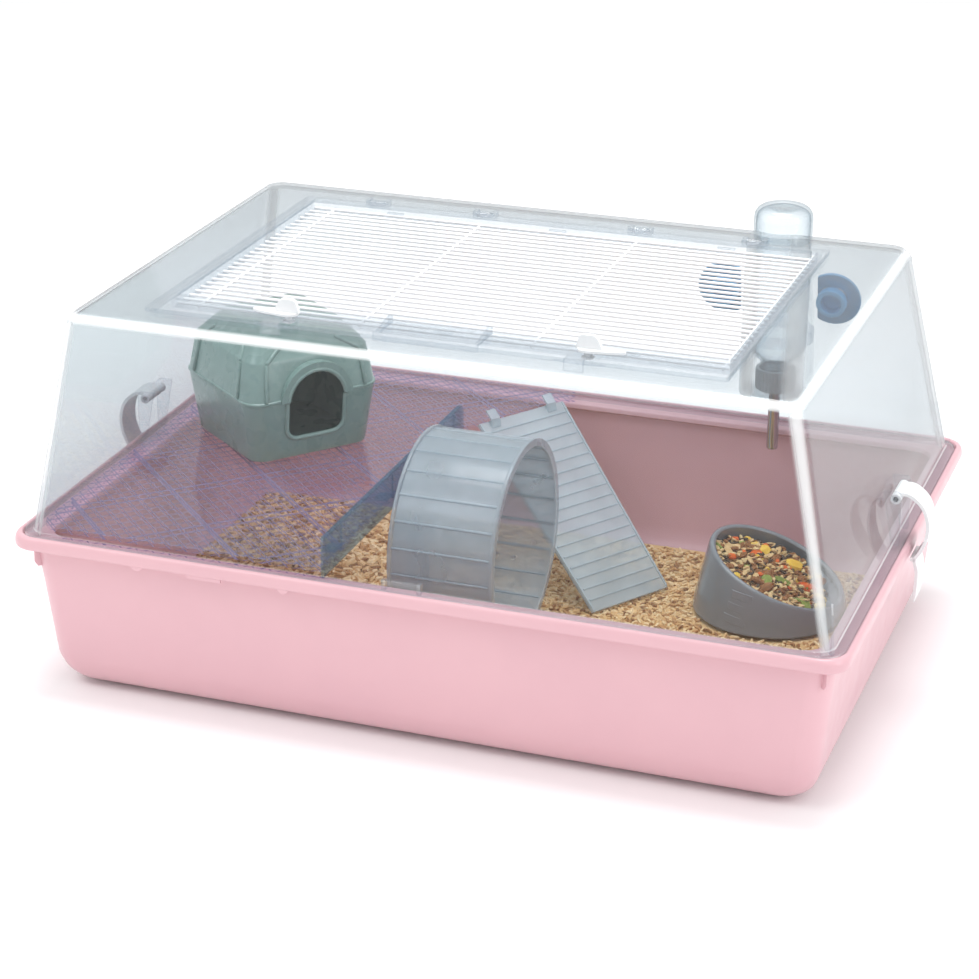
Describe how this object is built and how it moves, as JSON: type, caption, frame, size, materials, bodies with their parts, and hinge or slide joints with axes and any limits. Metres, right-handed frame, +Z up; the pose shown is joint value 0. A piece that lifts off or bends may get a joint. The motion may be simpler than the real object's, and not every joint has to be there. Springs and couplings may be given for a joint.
{
  "type": "hamster cage",
  "caption": "Small-animal cage: pink tub, clear drafted hood with a hinged wire door in its roof, side clips, and a platform, ramp, wheel, house, bowl and water bottle inside.",
  "frame": {"origin": "middle of the footprint, on the ground plane under the tub", "axes": "+X along the long side to the right seen from the front, +Y to the back where the bottle hangs, +Z up"},
  "size_m": [0.5776, 0.39, 0.279],
  "materials": {
    "pink_plastic": "glossy opaque",
    "clear_plastic": "clear glossy polystyrene",
    "door_clear_plastic": "clear glossy polystyrene",
    "white_wire": "glossy white coated wire",
    "white_plastic": "satin white",
    "blue_clear_plastic": "clear blue, grooved",
    "fence_clear_plastic": "clear blue-green",
    "ramp_plastic": "translucent blue-grey",
    "wheel_plastic": "translucent blue-grey",
    "stand_plastic": "translucent blue-grey",
    "axle_white": "satin off-white",
    "sage_plastic": "satin grey-green",
    "bowl_grey": "glossy dark grey",
    "seed_food": "dry grain and seed",
    "wood_pellets": "pressed wood pellets",
    "bottle_clear": "clear glossy",
    "cap_grey": "milky grey",
    "seal_rubber": "matt",
    "steel": "bright drawn tube",
    "ball_chrome": "polished",
    "plug_blue": "satin deep blue"
  },
  "bodies": {
    "base": {"tub": "pink_plastic", "bedding": "wood_pellets", "platform": "blue_clear_plastic", "platform_fence": "fence_clear_plastic", "house_base": "sage_plastic"},
    "cover": {"cover": "clear_plastic"},
    "door": {"door_frame": "door_clear_plastic", "door_grille": "white_wire"},
    "latch_left": {"turn_latch_left": "white_plastic"},
    "latch_right": {"turn_latch_right": "white_plastic"},
    "clip_left": {"side_clip_left": "white_plastic"},
    "clip_right": {"side_clip_right": "white_plastic"},
    "ramp": {"ramp": "ramp_plastic"},
    "wheel_set": {"wheel_stand": "stand_plastic", "wheel_axle": "axle_white", "wheel_cap": "axle_white"},
    "wheel": {"wheel_drum": "wheel_plastic"},
    "house_roof": {"house_roof": "sage_plastic"},
    "bowl": {"food_bowl": "bowl_grey", "food_mix": "seed_food"},
    "bottle": {"bottle": "bottle_clear"},
    "spout": {"bottle_cap": "cap_grey", "bottle_seal": "seal_rubber", "spout_tube": "steel"},
    "ball": {"spout_ball": "ball_chrome"},
    "plug_left": {"port_plug_left": "plug_blue"},
    "plug_right": {"port_plug_right": "plug_blue"}
  },
  "joints": [
    {"name": "cover_lift", "type": "slide", "parent": "base", "child": "cover", "axis": [0, 0, 1], "range_m": [0, 0.3]},
    {"name": "door_hinge", "type": "hinge", "parent": "cover", "child": "door", "pos_m": [0, 0.1136, 0.2672], "axis": [-1, 0, 0], "range_deg": [0, 100]},
    {"name": "latch_left_turn", "type": "hinge", "parent": "door", "child": "latch_left", "pos_m": [-0.098, -0.138, 0.269], "axis": [0, 0, 1], "range_deg": [0, 90]},
    {"name": "latch_right_turn", "type": "hinge", "parent": "door", "child": "latch_right", "pos_m": [0.098, -0.138, 0.269], "axis": [0, 0, -1], "range_deg": [0, 90]},
    {"name": "clip_left_swing", "type": "hinge", "parent": "cover", "child": "clip_left", "pos_m": [-0.2665, 0.005, 0.145], "axis": [0, 1, 0], "range_deg": [0, 90]},
    {"name": "clip_right_swing", "type": "hinge", "parent": "cover", "child": "clip_right", "pos_m": [0.2665, 0.005, 0.145], "axis": [0, -1, 0], "range_deg": [0, 90]},
    {"name": "ramp_swing", "type": "hinge", "parent": "base", "child": "ramp", "pos_m": [-0.038, 0.1215, 0.1188], "axis": [-0.529, -0.8486, 0], "range_deg": [0, 25]},
    {"name": "wheel_lift", "type": "slide", "parent": "base", "child": "wheel_set", "axis": [0, 0, 1], "range_m": [0, 0.08]},
    {"name": "wheel_spin", "type": "hinge", "parent": "wheel_set", "child": "wheel", "pos_m": [-0.05, -0.027, 0.0856], "axis": [1, 0, 0], "continuous": true},
    {"name": "house_roof_lift", "type": "slide", "parent": "base", "child": "house_roof", "axis": [0, 0, 1], "range_m": [0, 0.02]},
    {"name": "bowl_lift", "type": "slide", "parent": "base", "child": "bowl", "axis": [0, 0, 1], "range_m": [0, 0.12]},
    {"name": "bottle_lift", "type": "slide", "parent": "cover", "child": "bottle", "axis": [0, 0, 1], "range_m": [0, 0.13]},
    {"name": "cap_turn", "type": "hinge", "parent": "bottle", "child": "spout", "pos_m": [0.144, 0.168, 0.15], "axis": [0, 0, 1], "range_deg": [0, 360]},
    {"name": "ball_push", "type": "slide", "parent": "spout", "child": "ball", "axis": [0, 0, 1], "range_m": [0, 0.001]},
    {"name": "plug_left_pull", "type": "slide", "parent": "cover", "child": "plug_left", "axis": [0, 0.9812, 0.193], "range_m": [0, 0.03]},
    {"name": "plug_right_pull", "type": "slide", "parent": "cover", "child": "plug_right", "axis": [0, 0.9812, 0.193], "range_m": [0, 0.03]}
  ]
}
